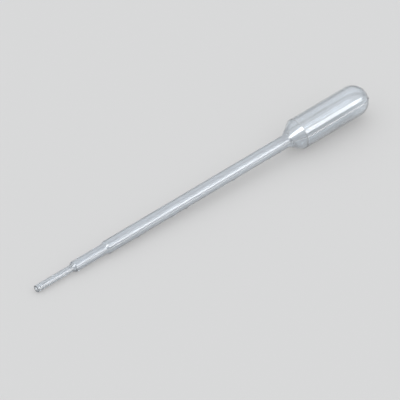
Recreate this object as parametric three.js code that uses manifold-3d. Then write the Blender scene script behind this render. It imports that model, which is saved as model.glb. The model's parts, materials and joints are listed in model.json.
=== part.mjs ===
// Transfer pipette: a dropper blow-moulded in one piece of soft, clear polyethylene.
// A drawn-out tip and a graduated stem open into a bulb with a domed end. The pipette
// lies as it rests on a table, on the edge of its first step and on the corner of its
// bulb. +X runs from the tip to the bulb, +Z is up, and the origin is below the middle
// of its box.
// Units are millimetres.
import * as THREE from "three";
import { mergeVertices } from "three/addons/utils/BufferGeometryUtils.js";
import Module from "manifold-3d";

// Lengths along the axis, from the open tip to the dome.
const TIP_LENGTH = 15.2;
const STEP_LENGTH = 1.0; // each cone that joins two diameters of the stem
const MIDDLE_LENGTH = 13.3;
const STEM_LENGTH = 81.9;
const SHOULDER_LENGTH = 5.4; // the cone from the stem to the bulb
const BULB_LENGTH = 26.4; // the straight part of the bulb, without its dome

// Outside diameters and the walls inside them. The dome is half a sphere.
const TIP_DIAMETER = 2.5;
const TIP_WALL = 0.5;
const MIDDLE_DIAMETER = 3.8;
const MIDDLE_WALL = 0.65;
const STEM_DIAMETER = 4.8;
const STEM_WALL = 0.5;
const BULB_DIAMETER = 11.6;
const BULB_WALL = 0.4;

// Roundings where the cones meet the straight parts.
const STEP_ROUNDING = 0.5;
const NECK_ROUNDING = 0.8; // stem to shoulder
const CORNER_ROUNDING = 1.0; // shoulder to bulb

// Graduation, raised from one side of the stem: a bar for every 0.25 ml.
const FIRST_BAR = 43.1; // from the tip
const BAR_PITCH = 21.7;
const BAR_WIDTH = 0.45;
const BAR_LENGTH = 2.5; // across the stem
const RELIEF = 0.22;
const LABELS = ["", "0.5ml", "", "1ml"]; // one for each bar, on its tip side
const LABEL_GAP = 2.0; // from a label to its bar
const LETTER_HEIGHT = 2.1;
const SMALL_LETTER_HEIGHT = 1.5;
const LETTER_WIDTH = 1.1;
const WIDE_LETTER_WIDTH = 1.65;
const LETTER_STROKE = 0.3;
const LETTER_SPACE = 0.4;

// Parting line of the two mould halves, and the weld where they pinched the dome shut.
const SEAM_WIDTH = 0.25;
const SEAM_HEIGHT = 0.09;
const WELD_WIDTH = 0.7;
const WELD_HEIGHT = 0.18;
const WELD_SPREAD = 52; // degrees to each side of the dome's end

// The graduation looks down, and this far towards -Y, in degrees.
const ROLL = 17.5;

const SIDES = 32; // flats around the body
const DOME_STEPS = 8;
const ROUNDING_STEPS = 3;
const CURVE_STEPS = 8;
const MERGE_DISTANCE = 1e-5; // vertices closer than this are one

// Stations along the axis.
const middleStart = TIP_LENGTH + STEP_LENGTH;
const middleEnd = middleStart + MIDDLE_LENGTH;
const stemStart = middleEnd + STEP_LENGTH;
const stemEnd = stemStart + STEM_LENGTH;
const bulbStart = stemEnd + SHOULDER_LENGTH;
const domeStart = bulbStart + BULB_LENGTH;

const outside = {
  tip: TIP_DIAMETER / 2,
  middle: MIDDLE_DIAMETER / 2,
  stem: STEM_DIAMETER / 2,
  bulb: BULB_DIAMETER / 2,
};
const inside = {
  tip: outside.tip - TIP_WALL,
  middle: outside.middle - MIDDLE_WALL,
  stem: outside.stem - STEM_WALL,
  bulb: outside.bulb - BULB_WALL,
};

// Radii worked out section by section from those of the outside and the inside.
function sections(rule) {
  return Object.fromEntries(
    Object.keys(outside).map((section) => [section, rule(outside[section], inside[section])]),
  );
}
const midWall = sections((outer, inner) => (outer + inner) / 2);
const seamCrest = sections((outer) => outer + SEAM_HEIGHT);

// Points of the arc that rounds one corner of an outline.
function roundedCorner(before, corner, after, rounding) {
  const back = before.clone().sub(corner).normalize();
  const ahead = after.clone().sub(corner).normalize();
  const halfAngle = back.angleTo(ahead) / 2;
  const inwards = back.clone().add(ahead).normalize();
  const centre = corner.clone().addScaledVector(inwards, rounding / Math.sin(halfAngle));
  const start = corner.clone().addScaledVector(back, rounding / Math.tan(halfAngle));
  const arm = start.sub(centre);
  const turn = Math.PI - 2 * halfAngle;
  const sense = Math.sign(ahead.cross(back));
  return Array.from({ length: ROUNDING_STEPS + 1 }, (_, i) => {
    const angle = (sense * turn * i) / ROUNDING_STEPS;
    return arm.clone().rotateAround(new THREE.Vector2(), angle).add(centre);
  });
}

// One side of the pipette's section, from the tip to the end of the dome, as points of
// (radius, distance from the tip).
function outline(radii) {
  const corners = [
    [radii.tip, 0, 0],
    [radii.tip, TIP_LENGTH, STEP_ROUNDING],
    [radii.middle, middleStart, STEP_ROUNDING],
    [radii.middle, middleEnd, STEP_ROUNDING],
    [radii.stem, stemStart, STEP_ROUNDING],
    [radii.stem, stemEnd, NECK_ROUNDING],
    [radii.bulb, bulbStart, CORNER_ROUNDING],
    [radii.bulb, domeStart, 0],
  ];
  const at = corners.map(([radius, station]) => new THREE.Vector2(radius, station));
  const points = corners.flatMap(([, , rounding], i) =>
    rounding ? roundedCorner(at[i - 1], at[i], at[i + 1], rounding) : [at[i]],
  );
  for (let i = 1; i <= DOME_STEPS; i++) {
    const angle = (Math.PI / 2) * (i / DOME_STEPS);
    const radius = i < DOME_STEPS ? radii.bulb * Math.cos(angle) : 0;
    points.push(new THREE.Vector2(radius, domeStart + radii.bulb * Math.sin(angle)));
  }
  return points;
}

const wasm = await Module();
wasm.setup();

// A closed three.js geometry as a solid for joining and cutting.
function solid(geometry) {
  geometry.deleteAttribute("normal");
  geometry.deleteAttribute("uv");
  const merged = mergeVertices(geometry, MERGE_DISTANCE);
  const index = merged.index.array;
  const triVerts = [];
  for (let i = 0; i < index.length; i += 3) {
    const [a, b, c] = index.subarray(i, i + 3);
    if (a !== b && b !== c && c !== a) triVerts.push(a, b, c);
  }
  const vertProperties = merged.attributes.position.array;
  const mesh = { numProp: 3, vertProperties, triVerts: new Uint32Array(triVerts) };
  return new wasm.Manifold(new wasm.Mesh(mesh));
}

// A solid turned about the pipette's axis, which is +Z until the pipette is laid down.
// One of its flats faces +X, which becomes the underside.
function turned(profile) {
  const firstEdge = Math.PI / 2 + Math.PI / SIDES;
  return solid(new THREE.LatheGeometry(profile, SIDES, firstEdge).rotateX(Math.PI / 2));
}

// A flat shape given a depth along its own z.
function deepened(shape, depth) {
  const settings = { depth, bevelEnabled: false, curveSegments: CURVE_STEPS };
  return new THREE.ExtrudeGeometry(shape, settings);
}

// A geometry with its x, y and z laid along the three given axes, as a solid rolled to
// its place around the stem.
function placed(geometry, xAxis, yAxis, zAxis) {
  geometry.applyMatrix4(new THREE.Matrix4().makeBasis(xAxis, yAxis, zAxis));
  return solid(geometry.rotateZ(-THREE.MathUtils.degToRad(ROLL)));
}

const X = new THREE.Vector3(1, 0, 0);
const Y = new THREE.Vector3(0, 1, 0);
const Z = new THREE.Vector3(0, 0, 1);

// The blown wall: the inside from the dome down to the tip, then the outside back up.
function wall() {
  return turned([...outline(inside).reverse(), ...outline(outside)]);
}

// Letters are flat outlines with their lower left corner at (0, 0).
function polygon(points) {
  return new THREE.Shape(points.map(([x, y]) => new THREE.Vector2(x, y)));
}

function upright(height) {
  const s = LETTER_STROKE;
  return { shape: polygon([[0, 0], [s, 0], [s, height], [0, height]]), width: s };
}

function zero() {
  const [x, y] = [LETTER_WIDTH / 2, LETTER_HEIGHT / 2];
  const shape = new THREE.Shape().absellipse(x, y, x, y, 0, 2 * Math.PI);
  const hole = new THREE.Path();
  hole.absellipse(x, y, x - LETTER_STROKE, y - LETTER_STROKE, 0, 2 * Math.PI);
  shape.holes.push(hole);
  return { shape, width: LETTER_WIDTH };
}

function one() {
  const [h, s] = [LETTER_HEIGHT, LETTER_STROKE];
  const w = LETTER_WIDTH / 2;
  const flag = w - s;
  const points = [[flag, 0], [w, 0], [w, h], [flag, h], [0, h - flag], [0, h - w], [flag, h - s]];
  return { shape: polygon(points), width: w };
}

function five() {
  const [w, h, s] = [LETTER_WIDTH, LETTER_HEIGHT, LETTER_STROKE];
  const [low, high] = [(h - s) / 2, (h + s) / 2];
  const outer = [[0, 0], [w, 0], [w, high], [s, high], [s, h - s], [w, h - s], [w, h], [0, h]];
  const inner = [[0, low], [w - s, low], [w - s, s], [0, s]];
  return { shape: polygon([...outer, ...inner]), width: w };
}

function em() {
  const [w, s, top] = [WIDE_LETTER_WIDTH, LETTER_STROKE, SMALL_LETTER_HEIGHT];
  const under = top - s;
  const [left, right] = [(w - s) / 2, (w + s) / 2];
  const firstLegs = [[0, 0], [s, 0], [s, under], [left, under], [left, 0], [right, 0]];
  const lastLeg = [[right, under], [w - s, under], [w - s, 0], [w, 0], [w, top], [0, top]];
  return { shape: polygon([...firstLegs, ...lastLeg]), width: w };
}

const LETTERS = {
  0: zero(),
  ".": upright(LETTER_STROKE),
  5: five(),
  1: one(),
  m: em(),
  l: upright(LETTER_HEIGHT),
};

// The shapes of a label and where each starts, so that the last ends at the station.
function label(text, end) {
  let start = end;
  return [...text].reverse().map((letter) => {
    const { shape, width } = LETTERS[letter];
    start -= width;
    const piece = { shape, start, length: LETTER_HEIGHT };
    start -= LETTER_SPACE;
    return piece;
  });
}

// All that stands up from the stem. It is pushed outwards from the axis, in the
// direction in which the mould opens, and kept only within a sleeve on the stem. The
// letters read from the tip to the bulb.
function graduation() {
  const crest = outside.stem + RELIEF;
  const sleeve = turned([
    new THREE.Vector2(midWall.stem, stemStart),
    new THREE.Vector2(crest, stemStart),
    new THREE.Vector2(crest, stemEnd),
    new THREE.Vector2(midWall.stem, stemEnd),
    new THREE.Vector2(midWall.stem, stemStart),
  ]);
  const [w, l] = [BAR_WIDTH, BAR_LENGTH];
  const line = polygon([[0, 0], [w, 0], [w, l], [0, l]]);
  const pieces = LABELS.flatMap((text, i) => {
    const start = FIRST_BAR + i * BAR_PITCH - BAR_WIDTH / 2;
    return [{ shape: line, start, length: BAR_LENGTH }, ...label(text, start - LABEL_GAP)];
  });
  return pieces.map(({ shape, start, length }) => {
    const block = deepened(shape, 2 * crest).translate(start, -length / 2, 0);
    return placed(block, Z, Y.clone().negate(), X).intersect(sleeve);
  });
}

// The raised parting line, in the plane across which the mould opens: a flat hairpin
// that follows both sides of the outside and goes round the dome.
function seam() {
  const crest = outline(seamCrest);
  const root = outline(midWall);
  const mirrored = (points) => points.map(({ x, y }) => new THREE.Vector2(-x, y));
  const shape = new THREE.Shape([
    ...crest,
    ...mirrored(crest).reverse().slice(1),
    ...mirrored(root),
    ...root.reverse().slice(1),
  ]);
  return placed(deepened(shape, SEAM_WIDTH).translate(0, 0, -SEAM_WIDTH / 2), Y, Z, X);
}

// The thicker weld over the end of the dome.
function weld() {
  const spread = THREE.MathUtils.degToRad(WELD_SPREAD);
  const [from, to] = [Math.PI / 2 - spread, Math.PI / 2 + spread];
  const shape = new THREE.Shape();
  shape.absarc(0, domeStart, outside.bulb + WELD_HEIGHT, from, to, false);
  shape.absarc(0, domeStart, midWall.bulb, to, from, true);
  return placed(deepened(shape, WELD_WIDTH).translate(0, 0, -WELD_WIDTH / 2), Y, Z, X);
}

function geometryOf(whole) {
  const { vertProperties, triVerts } = whole.getMesh();
  const geometry = new THREE.BufferGeometry();
  geometry.setAttribute("position", new THREE.BufferAttribute(vertProperties, 3));
  geometry.setIndex(new THREE.BufferAttribute(triVerts, 1));
  geometry.computeVertexNormals();
  return geometry;
}

const clearPlastic = new THREE.MeshStandardMaterial({
  color: 0xdfe7ee,
  roughness: 0.22,
  metalness: 0,
  transparent: true,
  opacity: 0.45,
});

const pieces = [wall(), ...graduation(), seam(), weld()];
const pipette = new THREE.Mesh(
  geometryOf(pieces.reduce((whole, piece) => whole.add(piece))),
  clearPlastic,
);
pipette.name = "pipette";

// Laid down: the corner of the bulb touches the table, and so does whichever edge before
// it is reached first, that of a step or of the tip.
const flat = Math.cos(Math.PI / SIDES);
const bottom = outline(outside);
const corner = bottom.findIndex(({ x }) => outside.bulb - x < MERGE_DISTANCE);
const { x: radius, y: station } = bottom[corner];
const slopes = bottom
  .slice(0, corner)
  .map(({ x, y }) => Math.atan2((radius - x) * flat, station - y));
pipette.rotation.y = Math.PI / 2 - Math.min(...slopes);

const box = new THREE.Box3().setFromObject(pipette, true);
const middle = box.getCenter(new THREE.Vector3());
pipette.position.set(-middle.x, -middle.y, -box.min.z);

const part = new THREE.Group();
part.add(pipette);

export default part;
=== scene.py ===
# %% [markdown]
# # A dropper pipette, blown in one piece
# A transfer pipette is a single skin of soft, clear polyethylene. A hot hose of plastic
# is caught between two halves of a mould, air blows it against the walls, and the tip is
# drawn out and cut. So it has one outline turned round one axis, plus what only a mould
# leaves: a parting line down both sides, a weld over the end of the bulb, and raised
# marks on the side that faces straight into one half.
#
# The script follows that order. It loads the solid that fixes the size and the place,
# draws the section, cuts the marks as a flat stencil, lets a node tree blow the skin,
# and then mixes the plastic and sets the studio.

# %% Set up the frame
import json
import math

import bmesh
import bpy
from mathutils import Matrix, Vector


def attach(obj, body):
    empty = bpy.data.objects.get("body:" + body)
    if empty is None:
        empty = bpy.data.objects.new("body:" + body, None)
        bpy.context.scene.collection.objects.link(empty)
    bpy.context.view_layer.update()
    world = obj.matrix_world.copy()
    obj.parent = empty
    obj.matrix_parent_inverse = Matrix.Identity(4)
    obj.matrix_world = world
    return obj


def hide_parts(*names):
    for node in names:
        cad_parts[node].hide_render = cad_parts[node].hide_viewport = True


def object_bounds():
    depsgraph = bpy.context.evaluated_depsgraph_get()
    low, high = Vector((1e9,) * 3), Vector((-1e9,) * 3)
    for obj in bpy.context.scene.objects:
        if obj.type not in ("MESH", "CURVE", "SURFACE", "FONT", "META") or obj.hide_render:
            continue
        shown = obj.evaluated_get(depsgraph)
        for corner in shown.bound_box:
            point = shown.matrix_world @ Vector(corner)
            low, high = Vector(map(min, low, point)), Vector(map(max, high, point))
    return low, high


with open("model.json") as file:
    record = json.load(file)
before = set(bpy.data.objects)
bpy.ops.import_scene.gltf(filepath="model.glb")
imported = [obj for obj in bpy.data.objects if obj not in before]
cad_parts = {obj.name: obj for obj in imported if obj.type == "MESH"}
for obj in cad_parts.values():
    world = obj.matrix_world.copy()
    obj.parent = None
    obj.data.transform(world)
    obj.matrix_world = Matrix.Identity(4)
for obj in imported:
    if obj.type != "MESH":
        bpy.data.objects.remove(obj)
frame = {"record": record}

cad_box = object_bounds()
MM = 0.001  # sizes below are in millimetres, and the scene's are in metres
print("box of the solid, mm:", [round(side / MM, 2) for side in cad_box[1] - cad_box[0]])

# %% [markdown]
# ## The sizes of the mould
# Every length runs along the axis from the cut tip. The diameters step up three times,
# so that the tip bends easily and the stem stays stiff. The wall is thinnest in the
# bulb, where the plastic was stretched most, and a finger can squeeze it.

# %% Lengths along the axis
TIP_LENGTH = 15.2
STEP_LENGTH = 1.0
MIDDLE_LENGTH = 13.3
STEM_LENGTH = 81.9
SHOULDER_LENGTH = 5.4
BULB_LENGTH = 26.4

middle_start = TIP_LENGTH + STEP_LENGTH
middle_end = middle_start + MIDDLE_LENGTH
stem_start = middle_end + STEP_LENGTH
stem_end = stem_start + STEM_LENGTH
bulb_start = stem_end + SHOULDER_LENGTH
dome_start = bulb_start + BULB_LENGTH

# %% Radii outside and inside
# The solid has flats around it. The round skin touches them from within, so its radii
# are those of the drawing, brought to half the width of the solid's box.
BULB_RADIUS = 5.8
to_flats = (cad_box[1].y - cad_box[0].y) / 2 / (BULB_RADIUS * MM)
outside = {"tip": 1.25, "middle": 1.9, "stem": 2.4, "bulb": BULB_RADIUS}
inside = {"tip": 0.75, "middle": 1.25, "stem": 1.9, "bulb": 5.4}
print("radii brought to the flats by", round(to_flats, 4))

# %% [markdown]
# ## The section
# The section is drawn as a turner would draw it: a few corners, and a rounding for each
# of them. A skin is closed only if the outline runs from the end of the dome, down the
# outside, round the cut edge of the tip and back up the bore, so it is one chain of
# points with both ends on the axis.

# %% Corners of one side of the wall
RIM_ROUNDING = 0.1
STEP_ROUNDING = 0.5
NECK_ROUNDING = 0.8
CORNER_ROUNDING = 0.7
SHARPEST = 0.15  # no corner inside is tighter than this


def side_corners(radius):
    """The corners from the tip to the dome: radius, station and rounding. Inside, a
    hollow corner is wider than outside by the wall, and a bulging one is tighter."""
    def hollow(part, rounding):
        return rounding + outside[part] - radius[part]

    def bulging(part, rounding):
        return max(rounding - outside[part] + radius[part], SHARPEST)

    return [
        (radius["tip"], 0, RIM_ROUNDING),
        (radius["tip"], TIP_LENGTH, hollow("tip", STEP_ROUNDING)),
        (radius["middle"], middle_start, bulging("middle", STEP_ROUNDING)),
        (radius["middle"], middle_end, hollow("middle", STEP_ROUNDING)),
        (radius["stem"], stem_start, bulging("stem", STEP_ROUNDING)),
        (radius["stem"], stem_end, hollow("stem", NECK_ROUNDING)),
        (radius["bulb"], bulb_start, bulging("bulb", CORNER_ROUNDING)),
        (radius["bulb"], dome_start, 0),
    ]


# %% Arcs at the corners and over the dome
ARC_STEP = 5.0  # degrees between the points of an arc


def arc(centre, arm, turn):
    """Points round a centre, from the end of an arm, through a turn in radians."""
    steps = max(2, math.ceil(abs(math.degrees(turn)) / ARC_STEP))
    return [centre + Matrix.Rotation(turn * i / steps, 2) @ arm for i in range(steps + 1)]


def rounded(before, corner, after, rounding):
    """The arc that takes the place of one corner."""
    back = (before - corner).normalized()
    ahead = (after - corner).normalized()
    half_angle = back.angle(ahead) / 2
    centre = corner + (back + ahead).normalized() * (rounding / math.sin(half_angle))
    arm = corner + back * (rounding / math.tan(half_angle)) - centre
    sense = math.copysign(1, ahead.cross(back))
    return arc(centre, arm, sense * (math.pi - 2 * half_angle))


def dome(radius):
    """From the straight wall of the bulb to the axis."""
    return arc(Vector((0, dome_start)), Vector((radius["bulb"], 0)), math.pi / 2)


# %% The whole section as one chain
corners = side_corners(outside)[::-1] + side_corners(inside)
spots = [Vector((radius, station)) for radius, station, _ in corners]
section = dome(outside)[::-1]
for i in range(1, len(corners) - 1):
    if corners[i][2]:
        section += rounded(spots[i - 1], spots[i], spots[i + 1], corners[i][2])
section += dome(inside)
print("points of the section:", len(section))

# %% [markdown]
# ## Small helpers for node trees
# Geometry and material trees are both written as text here, so a few helpers keep that
# text short. One adds a node with its options and inputs, and two do sums, on numbers
# and on vectors. The last fades a value out softly: a mould's edges are never quite
# sharp, and so neither is what they leave in the plastic.

# %% Helpers for nodes
def node(tree, kind, inputs=(), **options):
    """Adds a node. Inputs are plain values or the outputs of other nodes."""
    made = tree.nodes.new(kind)
    for name, value in options.items():
        setattr(made, name, value)
    for key, value in dict(inputs).items():
        if isinstance(value, bpy.types.NodeSocket):
            tree.links.new(value, made.inputs[key])
        else:
            made.inputs[key].default_value = value
    return made


def maths(tree, operation, *values):
    """One sum on numbers."""
    return node(tree, "ShaderNodeMath", enumerate(values), operation=operation).outputs[0]


def vectors(tree, operation, *values):
    """One sum on vectors."""
    made = node(tree, "ShaderNodeVectorMath", enumerate(values), operation=operation)
    return made.outputs["Value" if operation in ("LENGTH", "DOT_PRODUCT") else "Vector"]


def fade(tree, value, full, gone):
    """1 where a value has not passed full, and smoothly down to 0 where it is gone."""
    limits = {"Value": value, "From Min": full, "From Max": gone, "To Min": 1, "To Max": 0}
    return node(tree, "ShaderNodeMapRange", limits, interpolation_type="SMOOTHSTEP").outputs[0]


# %% Helpers for geometry trees and plain meshes
def new_tree(name, sockets):
    """A geometry tree with named inputs, and its input and output nodes."""
    tree = bpy.data.node_groups.new(name, "GeometryNodeTree")
    for label, kind in {"Geometry": "Geometry", **sockets}.items():
        tree.interface.new_socket(label, in_out="INPUT", socket_type="NodeSocket" + kind)
    tree.interface.new_socket("Geometry", in_out="OUTPUT", socket_type="NodeSocketGeometry")
    return tree, node(tree, "NodeGroupInput").outputs, node(tree, "NodeGroupOutput").inputs


def shaped(name, tree, values, start=None):
    """A new object with a plain mesh: what the tree makes of a start."""
    made = bpy.data.objects.new(name, start or bpy.data.meshes.new(name))
    bpy.context.collection.objects.link(made)
    modifier = made.modifiers.new(tree.name, "NODES")
    modifier.node_group = tree
    for socket in tree.interface.items_tree:
        if socket.in_out == "INPUT" and socket.name in values:
            modifier[socket.identifier] = values[socket.name]
    evaluated = made.evaluated_get(bpy.context.evaluated_depsgraph_get())
    mesh = bpy.data.meshes.new_from_object(evaluated)
    made.modifiers.clear()
    made.data = mesh
    return made


# %% [markdown]
# ## The stencil of the graduation
# The marks are cut into one half of the mould by a cutter that comes straight down, so
# they are flat artwork: a bar for every quarter of a millilitre, and two labels. Bars
# at an equal pitch are one little plate, repeated along a line. The labels are letters
# of the built-in font, squeezed a little. All of it is laid flat first, with x along
# the pipette, and is only a stencil: the node tree of the skin measures how far each of
# its points is from it.

# %% Sizes of the marks
FIRST_BAR = 43.1
BAR_PITCH = 21.7
BAR_COUNT = 4
BAR_WIDTH = 0.45
BAR_LENGTH = 2.5
LABELS = {"Half Label": ("0.5ml", 1), "Full Label": ("1ml", 3)}  # text, and which bar
LABEL_GAP = 2.0
LETTER_HEIGHT = 2.1
LETTER_SQUEEZE = 0.85
CAPITAL_SHARE = 0.72  # height of a capital in this font, for a font size of 1
EDGE = 0.14  # how far a mark's rounded edge spreads round its stencil

# %% The tree of the stencil
def stencil_tree():
    tree, given, result = new_tree("graduation", {
        "First Bar": "Float", "Bar Pitch": "Float", "Bar Count": "Int",
        "Bar Width": "Float", "Bar Length": "Float", "Label Gap": "Float",
        "Letter Height": "Float", "Letter Squeeze": "Float",
        "Half Label": "String", "Full Label": "String",
    })
    start = node(tree, "ShaderNodeCombineXYZ", {"X": given["First Bar"]}).outputs[0]
    pitch = node(tree, "ShaderNodeCombineXYZ", {"X": given["Bar Pitch"]}).outputs[0]
    line = node(tree, "GeometryNodeMeshLine", {
        "Count": given["Bar Count"], "Start Location": start, "Offset": pitch})
    plate = node(tree, "GeometryNodeMeshGrid", {
        "Size X": given["Bar Width"], "Size Y": given["Bar Length"],
        "Vertices X": 2, "Vertices Y": 2})
    bars = node(tree, "GeometryNodeInstanceOnPoints", {
        "Points": line.outputs["Mesh"], "Instance": plate.outputs["Mesh"]})
    joined = node(tree, "GeometryNodeJoinGeometry", {"Geometry": bars.outputs[0]})

    half_bar = maths(tree, "MULTIPLY", given["Bar Width"], 0.5)
    gap = maths(tree, "ADD", given["Label Gap"], half_bar)
    size = maths(tree, "DIVIDE", given["Letter Height"], CAPITAL_SHARE)
    length = maths(tree, "MULTIPLY", size, given["Letter Squeeze"])
    scale = node(tree, "ShaderNodeCombineXYZ", {"X": length, "Y": size, "Z": size})
    drop = maths(tree, "MULTIPLY", given["Letter Height"], -0.5)
    for label, (_, bar) in LABELS.items():
        letters = node(tree, "GeometryNodeStringToCurves", {"String": given[label], "Size": 1},
                       align_x="RIGHT", align_y="BOTTOM_BASELINE")
        whole = node(tree, "GeometryNodeRealizeInstances", {0: letters.outputs[0]})
        faces = node(tree, "GeometryNodeFillCurve", {"Curve": whole.outputs[0]})
        station = maths(tree, "MULTIPLY_ADD", given["Bar Pitch"], bar, given["First Bar"])
        end = maths(tree, "SUBTRACT", station, gap)
        spot = node(tree, "ShaderNodeCombineXYZ", {"X": end, "Y": drop})
        placed = node(tree, "GeometryNodeTransform", {
            "Geometry": faces.outputs[0], "Translation": spot.outputs[0],
            "Scale": scale.outputs[0]})
        tree.links.new(placed.outputs[0], joined.inputs[0])
    real = node(tree, "GeometryNodeRealizeInstances", {0: joined.outputs[0]})
    tree.links.new(real.outputs[0], result[0])
    return tree


# %% Cut the stencil
stencil = shaped("stencil", stencil_tree(), {
    "First Bar": FIRST_BAR * MM, "Bar Pitch": BAR_PITCH * MM, "Bar Count": BAR_COUNT,
    "Bar Width": (BAR_WIDTH - EDGE) * MM, "Bar Length": (BAR_LENGTH - EDGE) * MM,
    "Label Gap": LABEL_GAP * MM, "Letter Height": (LETTER_HEIGHT - EDGE) * MM,
    "Letter Squeeze": LETTER_SQUEEZE,
    **{label: text for label, (text, _) in LABELS.items()},
})
marked = sorted({round(vertex.co.x / MM, 3) for vertex in stencil.data.vertices})
print("stencil:", len(stencil.data.polygons), "faces,", marked[0], "to", marked[-1], "mm")

# %% [markdown]
# ## Rings and lines
# The skin is woven from rings round the axis and lines along it. Equal spacing would
# waste thousands of faces on the plain stem and still blur the letters, so both are
# spaced by need: rings crowd together only beside the artwork, and lines crowd together
# at the two parting lines and under the marks.

# %% A ruler with spans of different fineness
def ruler(start, *spans):
    """Marks from the start on. Each span is where it ends and its step."""
    marks = [start]
    for end, step in spans:
        last = marks[-1]
        count = max(1, round((end - last) / step))
        marks += [last + (end - last) * i / count for i in range(1, count + 1)]
    return marks


# %% Rings: more points on the straight stretches of the section
STENCIL_RING = 0.08
PLAIN_RING = 1.2
REACH = 0.3  # how far from the artwork the fine rings go


def fine_spans():
    """Stretches of the stem that carry artwork, as pairs of stations."""
    spans = []
    for station in marked:
        if spans and station - spans[-1][1] < 2 * REACH:
            spans[-1][1] = station
        else:
            spans.append([station, station])
    return [(low - REACH, high + REACH) for low, high in spans]


stem_spans = []
for low, high in fine_spans():
    stem_spans += [(low, PLAIN_RING), (high, STENCIL_RING)]
stem_marks = ruler(stem_start, *stem_spans, (stem_end, PLAIN_RING))


def divided(chain):
    """The chain with its long straight steps divided. Outside, the stem follows its marks."""
    made = [chain[0]]
    for end in chain[1:]:
        begin = made[-1]
        if (end - begin).length > STEM_LENGTH / 2 and end.x > inside["stem"]:
            stations = [mark for mark in stem_marks[::-1] if end.y < mark < begin.y]
        else:
            count = math.ceil((end - begin).length / PLAIN_RING)
            stations = [begin.y + (end.y - begin.y) * i / count for i in range(1, count)]
        for station in stations:
            share = (station - begin.y) / (end.y - begin.y)
            made.append(begin.lerp(end, share))
        made.append(end)
    return made


rings = divided(section)
print("rings:", len(rings))

# %% Lines: angles round the axis from the middle of the marked side
MARKS_SIDE = 33  # half the angle under the artwork
PARTING = 90
PARTING_SIDE = 5
SEAM_LINE = 0.5  # degrees from line to line, here and below
MARKS_LINE = 1.8
PLAIN_LINE = 4
FAR_LINE = 5  # on the half without marks
spokes = ruler(
    -PARTING - PARTING_SIDE,
    (-PARTING + PARTING_SIDE, SEAM_LINE),
    (-MARKS_SIDE, PLAIN_LINE),
    (MARKS_SIDE, MARKS_LINE),
    (PARTING - PARTING_SIDE, PLAIN_LINE),
    (PARTING + PARTING_SIDE, SEAM_LINE),
    (360 - PARTING - PARTING_SIDE, FAR_LINE),
)[:-1]
print("lines:", len(spokes))

# %% [markdown]
# ## Blowing the skin
# The node tree takes the chain of rings as its points and makes a grid with one row for
# each ring and one column for each line. Every point of the grid looks up its ring's
# radius and station and its line's direction, so the flat grid wraps itself round the
# axis. The two edges that meet are merged, and so are the points at the poles.
#
# The tree works in the mould's own directions: x is the way the marked half opens, y
# lies in the parting plane and z is the axis. What the mould leaves is then a height
# over the smooth skin, and a field can say it: close to the stencil, the relief; close
# to the parting plane, the seam; close to it on the dome, the weld. Only at the end is
# the pipette rolled and laid down. The mould's place of each point is kept as an
# attribute, because streaks and milkiness in the plastic follow it, and so does a ring
# of painted highlight at the bulb's corner.

# %% What the mould leaves
RELIEF = 0.22
SEAM_HEIGHT = 0.1
SEAM_REACH = 0.28  # from the parting plane to where the ridge is gone
WELD_HEIGHT = 0.18
WELD_REACH = 0.45
WELD_SPREAD = 52  # degrees to each side of the dome's end
WELD_END = 5  # degrees over which the weld runs out
WAVER = 0.025  # the blown skin is never quite even
WAVER_TOP = 0.75  # the level of the pattern that keeps the drawn size; less sinks in
WAVER_LENGTH = 9
WAVER_SEED = 3.0
MERGE_DISTANCE = 0.001  # points closer than this are one
ROLL = 17.5  # degrees from straight down that the marks face, towards the front


# %% The tree of the skin
def wrapped(tree, given):
    """The grid wrapped round the axis, with its place in the mould kept by name."""
    spokes = node(tree, "GeometryNodeObjectInfo", {"Object": given["Spokes"]}).outputs["Geometry"]
    counts = [
        node(tree, "GeometryNodeAttributeDomainSize", {0: part}).outputs["Point Count"]
        for part in (given["Geometry"], spokes)
    ]
    columns = maths(tree, "ADD", counts[1], 1)
    grid = node(tree, "GeometryNodeMeshGrid", {"Vertices X": counts[0], "Vertices Y": columns})
    index = node(tree, "GeometryNodeInputIndex").outputs[0]
    # Half a step more keeps the division clear of the ends of the rows
    ring = maths(tree, "FLOOR", maths(tree, "DIVIDE", maths(tree, "ADD", index, 0.5), columns))
    line = maths(tree, "SUBTRACT", index, maths(tree, "MULTIPLY", ring, columns))
    line = maths(tree, "MODULO", line, counts[1])

    def looked_up(geometry, field, kind, at):
        return node(tree, "GeometryNodeSampleIndex", {
            "Geometry": geometry, "Value": field, "Index": at}, data_type=kind).outputs[0]

    position = node(tree, "GeometryNodeInputPosition").outputs[0]
    outer = node(tree, "GeometryNodeInputNamedAttribute", {"Name": "outer"}).outputs[0]
    at_ring = looked_up(given["Geometry"], position, "FLOAT_VECTOR", ring)
    direction = looked_up(spokes, position, "FLOAT_VECTOR", line)
    parts = node(tree, "ShaderNodeSeparateXYZ", {0: at_ring}).outputs
    height = node(tree, "ShaderNodeCombineXYZ", {"Z": parts["Z"]}).outputs[0]
    spoke = node(tree, "ShaderNodeVectorMath", {0: direction, "Scale": parts["X"]},
                 operation="SCALE").outputs[0]
    place = vectors(tree, "ADD", spoke, height)
    geometry = grid.outputs["Mesh"]
    geometry = node(tree, "GeometryNodeStoreNamedAttribute", {
        "Geometry": geometry, "Name": "outer",
        "Value": looked_up(given["Geometry"], outer, "FLOAT", ring)}, data_type="FLOAT").outputs[0]
    geometry = node(tree, "GeometryNodeSetPosition", {
        "Geometry": geometry, "Position": place}).outputs[0]
    geometry = node(tree, "GeometryNodeMergeByDistance", {
        "Geometry": geometry, "Distance": MERGE_DISTANCE * MM}).outputs[0]
    return node(tree, "GeometryNodeStoreNamedAttribute", {
        "Geometry": geometry, "Name": "mould", "Value": position},
        data_type="FLOAT_VECTOR").outputs[0]


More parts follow.
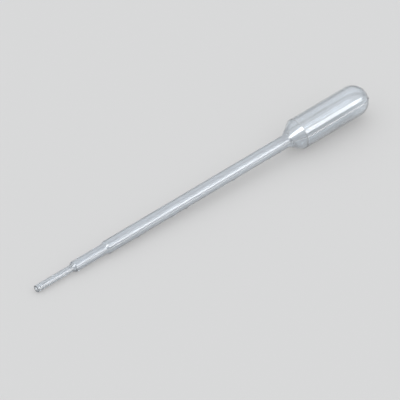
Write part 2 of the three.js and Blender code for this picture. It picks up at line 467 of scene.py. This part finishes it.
def raised(tree, given, geometry):
    """The skin with its graduation, seams and weld standing out."""
    position = node(tree, "GeometryNodeInputPosition").outputs[0]
    normal = node(tree, "GeometryNodeInputNormal").outputs[0]
    parts = node(tree, "ShaderNodeSeparateXYZ", {0: position}).outputs
    off_parting = maths(tree, "ABSOLUTE", parts["X"])
    across = maths(tree, "MULTIPLY", parts["Y"], -1)
    on_stencil = node(tree, "ShaderNodeCombineXYZ", {"X": parts["Z"], "Y": across}).outputs[0]
    stencil = node(tree, "GeometryNodeObjectInfo", {"Object": given["Stencil"]}).outputs["Geometry"]
    away = node(tree, "GeometryNodeProximity", {0: stencil, "Source Position": on_stencil},
                target_element="FACES").outputs["Distance"]
    marked_side = maths(tree, "GREATER_THAN", parts["X"], 0)
    mark = maths(tree, "MULTIPLY", fade(tree, away, 0, given["Edge"]), marked_side)
    seam = fade(tree, off_parting, 0, given["Seam Reach"])
    weld = maths(tree, "MULTIPLY", fade(tree, off_parting, 0, given["Weld Reach"]),
                 fade(tree, maths(tree, "MULTIPLY", parts["Z"], -1),
                      maths(tree, "MULTIPLY", given["Weld Full"], -1),
                      maths(tree, "MULTIPLY", given["Weld Start"], -1)))
    height = maths(tree, "MAXIMUM", maths(tree, "MULTIPLY", seam, given["Seam Height"]),
                   maths(tree, "MULTIPLY", weld, given["Weld Height"]))
    height = maths(tree, "ADD", height, maths(tree, "MULTIPLY", mark, given["Relief"]))
    outer = node(tree, "GeometryNodeInputNamedAttribute", {"Name": "outer"}).outputs[0]
    height = maths(tree, "MULTIPLY", height, outer)
    waves = node(tree, "ShaderNodeTexNoise", {
        "Vector": position, "W": given["Seed"], "Detail": 1,
        "Scale": maths(tree, "DIVIDE", 1, given["Waver Length"])}, noise_dimensions="4D").outputs[0]
    waver = maths(tree, "MULTIPLY", maths(tree, "SUBTRACT", waves, WAVER_TOP), given["Waver"])
    offset = node(tree, "ShaderNodeVectorMath", {
        0: normal, "Scale": maths(tree, "ADD", height, waver)}, operation="SCALE").outputs[0]
    return node(tree, "GeometryNodeSetPosition", {
        "Geometry": geometry, "Offset": offset}).outputs[0]


def skin_tree():
    floats = ("Relief", "Edge", "Seam Height", "Seam Reach", "Weld Height", "Weld Reach",
              "Weld Start", "Weld Full", "Waver", "Waver Length", "Seed")
    tree, given, result = new_tree("blown_skin", {
        "Spokes": "Object", "Stencil": "Object", **{name: "Float" for name in floats},
        "Roll": "Rotation", "Lay Down": "Rotation", "Tip": "Vector", "Plastic": "Material",
    })
    geometry = raised(tree, given, wrapped(tree, given))
    geometry = node(tree, "GeometryNodeTransform", {
        "Geometry": geometry, "Rotation": given["Roll"]}).outputs[0]
    geometry = node(tree, "GeometryNodeTransform", {
        "Geometry": geometry, "Rotation": given["Lay Down"],
        "Translation": given["Tip"]}).outputs[0]
    geometry = node(tree, "GeometryNodeSetShadeSmooth", {"Geometry": geometry}).outputs[0]
    geometry = node(tree, "GeometryNodeRealizeInstances", {0: geometry}).outputs[0]
    geometry = node(tree, "GeometryNodeSetMaterial", {
        "Geometry": geometry, "Material": given["Plastic"]}).outputs[0]
    tree.links.new(geometry, result[0])
    return tree


# %% [markdown]
# ## The plastic
# Natural polyethylene is not clear like glass. Tiny crystals in it scatter a little of
# the light, and the plastic swallows a little more, red before blue, so a thin wall is
# almost colourless and a wall seen edge on is a cool grey. It is milkier along the
# parting line, where the two halves of the mould meet. A thin milky ring at the bulb's
# corner is a painted highlight: it stands in for the light that the sharp corner catches.
#
# A closed skin with two faces lets the render bend light as a real wall does, so the
# shader is one Principled BSDF with most of its weight on transmission. Three more
# things make it plastic. A volume that absorbs does the colour, because it grows with
# the way through the wall. The roughness differs: the bulb was blown against the mould,
# the stem was drawn down and has a softer skin, and the bore touched nothing and is the
# smoothest. And a thin coat keeps the highlights sharp over the soft skin.
#
# The bulb's end of the mould was turned on a lathe, and the plastic copies the fine
# rings that were left there. They are far too shallow for the mesh, so they are a bump.
# It smears what is seen through the bulb along the axis, and leaves long highlights
# whole. The mould's edges are polished, so the rings stop short of the parting line.

# %% Values of the plastic
GLASSY = 1.51  # how strongly polyethylene bends light
CLARITY = 0.97
# The plastic is less clear on the seam, and on the ring of painted highlight at the bulb's corner
SEAM_AND_HIGHLIGHT_CLARITY = 0.75
CLEAR_TINT = (0.925, 0.955, 0.985, 1)
# The tint of milky clouds and of the seam, and of the ring of painted highlight
MILK_AND_HIGHLIGHT_TINT = (0.95, 0.97, 0.99, 1)
DEPTH_TINT = (0.5, 0.72, 0.95, 1)
DEPTH_DENSITY = 120  # per metre of solid plastic
BORE_ROUGHNESS = 0.04
BLOWN_ROUGHNESS = 0.09
DRAWN_ROUGHNESS = 0.29
UNEVENNESS = 0.01  # what clouds and streaks each add to the roughness outside
TURNED_PITCH = 0.5  # of the fine rings on the bulb
TURNED_HEIGHT = 0.008
RINGLESS = 0.4  # from the parting plane to where the rings begin
RINGED = 0.8  # and to where they have their full height
SHEEN_COAT = 1.0
COAT_ROUGHNESS = 0.03
CLOUD_SCALE = 220  # per metre, and so are the streaks
CLOUD_DETAIL = 4
STREAK_SCALE = 2600
STREAK_DETAIL = 1
STREAK_STRETCH = 0.03  # the share of that scale that is left along the axis
CLOUD_RANGE = (0.25, 0.75)  # what the pattern of the clouds mostly stays between
CLOUD_MILK = 0.5  # the most that a cloud whitens
MILK_AND_HIGHLIGHT_FULL = 0.1  # from the middle of a line to where it begins to fade: the milky seam, and the ring of painted highlight
MILK_AND_HIGHLIGHT_GONE = 0.25


# %% Patterns in the plastic
def noise(tree, vector, scale, detail):
    """A pattern of soft clouds, with finer ones on them the higher the detail."""
    return node(tree, "ShaderNodeTexNoise", {
        "Vector": vector, "Scale": scale, "Detail": detail}).outputs[0]


def ramp(tree, value, lowest, highest, low, high):
    """A value between two limits brought between two others."""
    return node(tree, "ShaderNodeMapRange", {
        "Value": value, "From Min": lowest, "From Max": highest,
        "To Min": low, "To Max": high}).outputs[0]


def patterns(tree, place):
    """Soft clouds in the wall, and streaks along the axis from drawing the hose."""
    drawn = vectors(tree, "MULTIPLY", place, (1, 1, STREAK_STRETCH))
    clouds = noise(tree, place, CLOUD_SCALE, CLOUD_DETAIL)
    return clouds, noise(tree, drawn, STREAK_SCALE, STREAK_DETAIL)


def milk_and_painted_highlight_line(tree, value, station):
    """1 on a line, softly down to 0 beside it: the milky seam, and the ring of painted highlight.
    """
    off_line = maths(tree, "ABSOLUTE", maths(tree, "SUBTRACT", value, station * MM))
    return fade(tree, off_line, MILK_AND_HIGHLIGHT_FULL * MM, MILK_AND_HIGHLIGHT_GONE * MM)


def turned_rings(tree, parts, outer, blown):
    """Normals of the fine rings that the mould leaves on the outside of the bulb."""
    turns = maths(tree, "MULTIPLY", parts["Z"], math.tau / (TURNED_PITCH * MM))
    off_parting = maths(tree, "ABSOLUTE", parts["X"])
    ringed = ramp(tree, off_parting, RINGLESS * MM, RINGED * MM, 0, 1)
    ringed = maths(tree, "MULTIPLY", ringed, maths(tree, "MULTIPLY", outer, blown))
    height = maths(tree, "MULTIPLY", maths(tree, "SINE", turns), ringed)
    return node(tree, "ShaderNodeBump", {
        "Height": height, "Distance": TURNED_HEIGHT * MM}).outputs[0]


# %% Mix the plastic
def polyethylene():
    made = bpy.data.materials.new("clear_polyethylene")
    made.use_nodes = True
    tree = made.node_tree
    shader = tree.nodes["Principled BSDF"].inputs
    shader["IOR"].default_value = GLASSY
    shader["Coat Weight"].default_value = SHEEN_COAT
    shader["Coat Roughness"].default_value = COAT_ROUGHNESS
    place = node(tree, "ShaderNodeAttribute", attribute_name="mould").outputs["Vector"]
    outer = node(tree, "ShaderNodeAttribute", attribute_name="outer").outputs["Fac"]
    parts = node(tree, "ShaderNodeSeparateXYZ", {0: place}).outputs
    clouds, streaks = patterns(tree, place)

    parting = milk_and_painted_highlight_line(tree, parts["X"], 0)
    # The ring at the bulb's corner is painted highlight: a paler, less clear line that stands in
    # for the light its sharp corner catches
    lines = maths(tree, "MAXIMUM", parting, milk_and_painted_highlight_line(tree, parts["Z"], bulb_start))
    milk_and_highlight = maths(tree, "MAXIMUM", lines, ramp(tree, clouds, *CLOUD_RANGE, 0, CLOUD_MILK))
    tint = node(tree, "ShaderNodeMix", {0: milk_and_highlight, 6: CLEAR_TINT, 7: MILK_AND_HIGHLIGHT_TINT},
                data_type="RGBA").outputs[2]
    tree.links.new(tint, shader["Base Color"])
    clarity = ramp(tree, lines, 0, 1, CLARITY, SEAM_AND_HIGHLIGHT_CLARITY)
    tree.links.new(clarity, shader["Transmission Weight"])

    blown = ramp(tree, parts["Z"], stem_end * MM, bulb_start * MM, 0, 1)
    skin = ramp(tree, blown, 0, 1, DRAWN_ROUGHNESS, BLOWN_ROUGHNESS)
    uneven = maths(tree, "MULTIPLY", maths(tree, "ADD", clouds, streaks), UNEVENNESS)
    skin = maths(tree, "ADD", skin, uneven)
    roughness = node(tree, "ShaderNodeMix", {0: outer, 2: BORE_ROUGHNESS, 3: skin}).outputs[0]
    tree.links.new(roughness, shader["Roughness"])
    bump = turned_rings(tree, parts, outer, blown)
    tree.links.new(bump, shader["Normal"])
    tree.links.new(bump, shader["Coat Normal"])

    depth = node(tree, "ShaderNodeVolumeAbsorption", {
        "Color": DEPTH_TINT, "Density": DEPTH_DENSITY})
    tree.links.new(depth.outputs[0], tree.nodes["Material Output"].inputs["Volume"])
    return made


plastic = polyethylene()

# %% [markdown]
# ## Where it lies
# The pipette lies on the edge of its first step and on the corner of its bulb, and the
# cut tip hangs just clear of the table, so the axis climbs a little. The frame says
# where: the mount on the cut face of the tip gives the direction of the axis and a point
# in the middle of the wall.

# %% Read the place from the frame
mount = next(m for m in frame["record"]["mounts"] if m["name"] == "tip_end")
axis = -Vector(mount["axis"]).normalized()
climb = math.atan2(axis.z, axis.x)
up = Vector((-axis.z, 0, axis.x))
tip = Vector(mount["pos_m"]) - up * (outside["tip"] + inside["tip"]) / 2 * MM
print("the axis climbs", round(math.degrees(climb), 2), "degrees")

# %% Points for the tree: the rings, and the directions of the lines
def points_mesh(name, points):
    mesh = bpy.data.meshes.new(name)
    mesh.from_pydata(points, [], [])
    return mesh


turns = [math.radians(angle) for angle in spokes]
directions = points_mesh("spokes", [(math.cos(turn), math.sin(turn), 0) for turn in turns])
spokes_object = bpy.data.objects.new("spokes", directions)
bpy.context.collection.objects.link(spokes_object)

chain = points_mesh("section", [(ring.x * to_flats * MM, 0, ring.y * MM) for ring in rings])
cut_edge = next(i for i, ring in enumerate(rings) if ring.y < 2 * RIM_ROUNDING)
outer = chain.attributes.new("outer", "FLOAT", "POINT")
for i in range(cut_edge):
    outer.data[i].value = 1

# %% Blow the skin
weld_limits = [
    (dome_start + BULB_RADIUS * math.cos(math.radians(WELD_SPREAD + part * WELD_END))) * MM
    for part in (1, 0)
]
pipette = shaped("blown_pipette", skin_tree(), {
    "Spokes": spokes_object, "Stencil": stencil,
    "Relief": RELIEF * MM, "Edge": EDGE * MM,
    "Seam Height": SEAM_HEIGHT * MM, "Seam Reach": SEAM_REACH * MM,
    "Weld Height": WELD_HEIGHT * MM, "Weld Reach": WELD_REACH * MM,
    "Weld Start": weld_limits[0], "Weld Full": weld_limits[1],
    "Waver": WAVER * MM, "Waver Length": WAVER_LENGTH * MM, "Seed": WAVER_SEED,
    "Roll": (0.0, 0.0, -math.radians(ROLL)),
    "Lay Down": (0.0, math.pi / 2 - climb, 0.0), "Tip": tuple(tip), "Plastic": plastic,
}, chain)
for helper in (stencil, spokes_object):
    bpy.data.objects.remove(helper)


# %% Look the mesh over
def look_over(piece):
    mesh = bmesh.new()
    mesh.from_mesh(piece.data)
    open_edges = sum(not edge.is_manifold for edge in mesh.edges)
    volume = mesh.calc_volume(signed=True) / MM**3
    triangles = sum(len(face.verts) - 2 for face in mesh.faces)
    mesh.free()
    print(piece.name, triangles, "triangles,", open_edges, "open edges,", round(volume), "mm3")


look_over(pipette)

# %% Ride on the solid and stand for it
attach(pipette, "root")
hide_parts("pipette")

# %% [markdown]
# ## The studio
# Clear plastic has almost no look of its own: it shows what it bends and mirrors. So
# light and look are set apart. The sky lights everything and is plain: bright overhead
# and, low down, dim all round, as if behind black flags. That dim band is what draws the
# dark edges of a clear tube. Right at the horizon the sky is as pale as the floor, so
# that a low view has no edge behind the pipette.
#
# The lamps add only what is seen in the plastic, as mirrored and bent rays see them and
# the floor doesn't. A long strip beside the pipette draws one unbroken line down the
# stem and the bulb, and a small box near the viewer catches the shoulder.
#
# Light that was bent by the plastic and then falls on the floor is slow to render and
# stays speckled, so such rays are switched off. That alone would leave the shadow black,
# so the floor gives a part of its tone by itself, to what looks at it straight, in a
# mirror or through the plastic.

# %% The floor
FLOOR_SIZE = 6  # metres
FLOOR_TONE = 0.33
FLOOR_ROUGHNESS = 0.6
FLOOR_GLOW = 0.35  # what it gives by itself


def floor_paint():
    made = bpy.data.materials.new("floor")
    made.use_nodes = True
    tree = made.node_tree
    shader = tree.nodes["Principled BSDF"].inputs
    shader["Base Color"].default_value = (FLOOR_TONE, FLOOR_TONE, FLOOR_TONE, 1)
    shader["Roughness"].default_value = FLOOR_ROUGHNESS
    shader["Emission Color"].default_value = (1, 1, 1, 1)
    rays = node(tree, "ShaderNodeLightPath").outputs
    clear = maths(tree, "MAXIMUM", rays["Is Glossy Ray"], rays["Is Transmission Ray"])
    seen = maths(tree, "MAXIMUM", rays["Is Camera Ray"], clear)
    tree.links.new(maths(tree, "MULTIPLY", seen, FLOOR_GLOW), shader["Emission Strength"])
    return made


def floor():
    mesh = bpy.data.meshes.new("floor")
    half = FLOOR_SIZE / 2
    corners = [(-half, -half, 0), (half, -half, 0), (half, half, 0), (-half, half, 0)]
    mesh.from_pydata(corners, [], [(0, 1, 2, 3)])
    mesh.materials.append(floor_paint())
    made = bpy.data.objects.new("floor", mesh)
    bpy.context.collection.objects.link(made)
    return made


floor()
bpy.context.scene.cycles.caustics_reflective = False
bpy.context.scene.cycles.caustics_refractive = False

# %% The sky
SKY_COLOUR = (0.98, 0.99, 1, 1)
BACKDROP = 0.69  # the level of the floor, so that low views have no edge
FLAG = 0.3
OVERHEAD = 1.1
BACKDROP_FADES = 0.06  # heights of a direction, from 0 at the horizon to 1 straight up
BACKDROP_GONE = 0.12
FLAG_FADES = 0.1
OVERHEAD_FULL = 0.7


def sky():
    made = bpy.data.worlds.new("studio")
    made.use_nodes = True
    tree = made.node_tree
    background = tree.nodes["Background"].inputs
    background["Color"].default_value = SKY_COLOUR
    direction = node(tree, "ShaderNodeTexCoord").outputs["Generated"]
    height = node(tree, "ShaderNodeSeparateXYZ", {0: direction}).outputs["Z"]
    limits = {"Value": height, "From Min": FLAG_FADES, "From Max": OVERHEAD_FULL,
              "To Min": FLAG, "To Max": OVERHEAD}
    above = node(tree, "ShaderNodeMapRange", limits, interpolation_type="SMOOTHSTEP").outputs[0]
    low = fade(tree, height, BACKDROP_FADES, BACKDROP_GONE)
    level = node(tree, "ShaderNodeMix", {0: low, 2: above, 3: BACKDROP}).outputs[0]
    tree.links.new(level, background["Strength"])
    return made


bpy.context.scene.world = sky()

# %% The soft boxes
LAMP_DISTANCE = 0.9  # metres, as are the sizes and shifts of the lamps


def softbox(name, direction, size, radiance, shift=0):
    """A soft lamp that faces the pipette. Its first side, and the shift, run along it."""
    back = Vector(direction).normalized()
    side = (axis - back * axis.dot(back)).normalized()
    lamp = bpy.data.lights.new(name, "AREA")
    lamp.shape = "RECTANGLE"
    lamp.size, lamp.size_y = size
    lamp.energy = radiance * math.pi * size[0] * size[1]
    made = bpy.data.objects.new(name, lamp)
    bpy.context.collection.objects.link(made)
    turn = Matrix((side, back.cross(side), back)).transposed().to_4x4()
    made.matrix_world = Matrix.Translation(back * LAMP_DISTANCE + side * shift) @ turn
    made.visible_camera = False
    made.visible_diffuse = False


softbox("strip", direction=(0.48, -0.75, 0.46), size=(0.95, 0.35), radiance=3.6, shift=-0.275)
softbox("near_box", direction=(-0.52, -0.35, 0.78), size=(0.4, 0.4), radiance=4.5)

# %% The camera
AZIMUTH = -41.7
ELEVATION = 38.5
DISTANCE = 1.2  # metres
LENS = 316.6
ASIDE = (-1.9, -3.8)  # where it aims, right and up of the middle of the pipette
MIDDLE_HEIGHT = 4.0
CLOSEST = 0.05  # metres; what is nearer to the camera isn't drawn

turn, lift = math.radians(AZIMUTH), math.radians(ELEVATION)
back = Vector((
    math.sin(turn) * math.cos(lift), -math.cos(turn) * math.cos(lift), math.sin(lift)))
camera = bpy.data.objects.new("camera", bpy.data.cameras.new("camera"))
bpy.context.collection.objects.link(camera)
camera.data.lens = LENS
camera.rotation_euler = back.to_track_quat("Z", "Y").to_euler()
aim = Vector((0, 0, MIDDLE_HEIGHT)) + camera.rotation_euler.to_matrix() @ Vector((*ASIDE, 0))
camera.location = aim * MM + back * DISTANCE
camera.data.clip_start = CLOSEST
bpy.context.scene.camera = camera
bpy.context.scene.view_settings.view_transform = "Standard"
